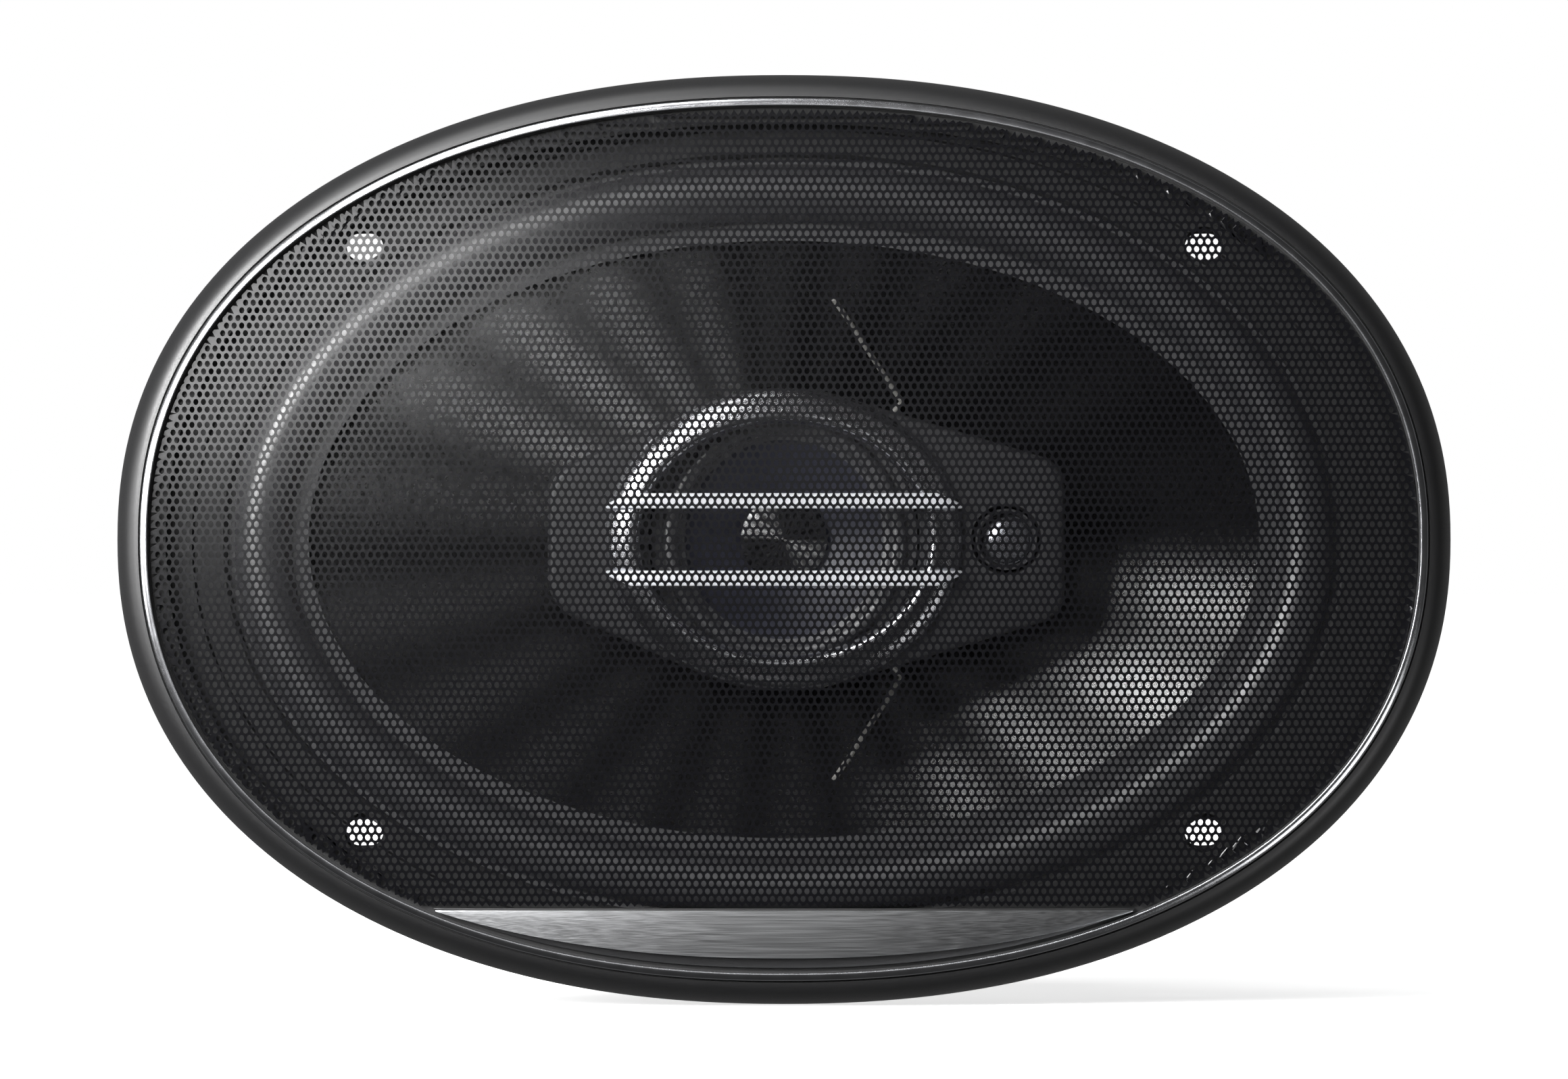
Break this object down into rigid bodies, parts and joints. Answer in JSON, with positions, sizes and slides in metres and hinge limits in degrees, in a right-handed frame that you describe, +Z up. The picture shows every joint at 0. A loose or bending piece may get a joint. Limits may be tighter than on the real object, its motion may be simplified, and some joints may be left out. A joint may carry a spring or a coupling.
{
  "type": "coaxial car speaker",
  "caption": "Oval coaxial car speaker with a domed pull-off grille, a bridge with a midrange and a tweeter over the cone, and a magnet behind a windowed basket.",
  "frame": {"origin": "on the speaker's axis, in the plane of the flange's rear face, where it meets the panel", "axes": "+X along the long axis to the right as seen from the front, +Z up along the short axis, the front faces -Y"},
  "size_m": [0.24, 0.0969, 0.1672],
  "materials": {
    "satin_abs": "satin moulded ABS",
    "pod_abs": "fine matt moulded ABS",
    "bright_trim": "bright plated plastic",
    "black_sheet": "gloss black coated steel sheet",
    "brushed_aluminium": "brushed along X",
    "black_steel": "black electrocoated pressed steel",
    "rubber": "soft black",
    "cone_film": "glossy black",
    "mid_cone_film": "coated paper",
    "coil_paper": "resin-bound paper",
    "copper": null,
    "spider_cloth": "resin-dipped cotton cloth",
    "zinc_steel": "zinc-plated steel",
    "ferrite": "sintered ferrite",
    "board": "phenolic paper board",
    "tinned_brass": "tinned",
    "tinsel": "wire under black cement",
    "capacitor_sleeve": "shrink sleeve",
    "tweeter_film": "polymer film dome"
  },
  "bodies": {
    "chassis": {"basket": "black_steel", "flange_gasket": "rubber", "top_plate": "zinc_steel", "ferrite_magnet": "ferrite", "back_plate_and_pole": "zinc_steel", "plate_rivet_1": "zinc_steel", "plate_rivet_2": "zinc_steel", "plate_rivet_3": "zinc_steel", "plate_rivet_4": "zinc_steel", "bridge_post": "pod_abs", "post_screw": "zinc_steel", "woofer_surround": "rubber", "spider": "spider_cloth", "tinsel_upper": "copper", "tinsel_lower": "copper", "bridge_pod": "pod_abs", "midrange_bezel": "bright_trim", "guard_bar_upper": "bright_trim", "guard_bar_lower": "bright_trim", "midrange_frame": "black_steel", "midrange_surround": "rubber", "midrange_top_plate": "zinc_steel", "midrange_magnet": "ferrite", "midrange_yoke": "zinc_steel", "tweeter_housing": "pod_abs", "tweeter_magnet": "zinc_steel", "terminal_board": "board", "terminal_positive": "tinned_brass", "terminal_negative": "tinned_brass", "crossover_capacitor": "capacitor_sleeve"},
    "woofer": {"woofer_cone": "cone_film", "voice_coil_former": "coil_paper", "voice_coil_winding": "copper", "cone_lead_upper": "tinsel", "cone_lead_lower": "tinsel"},
    "midrange": {"midrange_cone": "mid_cone_film", "midrange_dust_cap": "cone_film", "midrange_coil": "copper"},
    "tweeter": {"tweeter_dome": "tweeter_film", "tweeter_coil": "copper"},
    "grille": {"grille_trim_ring": "satin_abs", "grille_inlay_ring": "bright_trim", "grille_mesh": "black_sheet", "grille_badge_plate": "brushed_aluminium"}
  },
  "joints": [
    {"name": "woofer_travel", "type": "slide", "parent": "chassis", "child": "woofer", "axis": [0, -1, 0], "range_m": [-0.004, 0.004], "stiffness_N_per_m": 1800, "deforming": ["woofer_surround", "spider", "tinsel_upper", "tinsel_lower"]},
    {"name": "midrange_travel", "type": "slide", "parent": "chassis", "child": "midrange", "axis": [0, -1, 0], "range_m": [-0.0007, 0.0007], "stiffness_N_per_m": 1500, "deforming": ["midrange_surround"]},
    {"name": "tweeter_travel", "type": "slide", "parent": "chassis", "child": "tweeter", "axis": [0, -1, 0], "range_m": [-0.0002, 0.0002], "stiffness_N_per_m": 1500},
    {"name": "grille_pull", "type": "slide", "parent": "chassis", "child": "grille", "axis": [0, -1, 0], "range_m": [0, 0.06]}
  ]
}
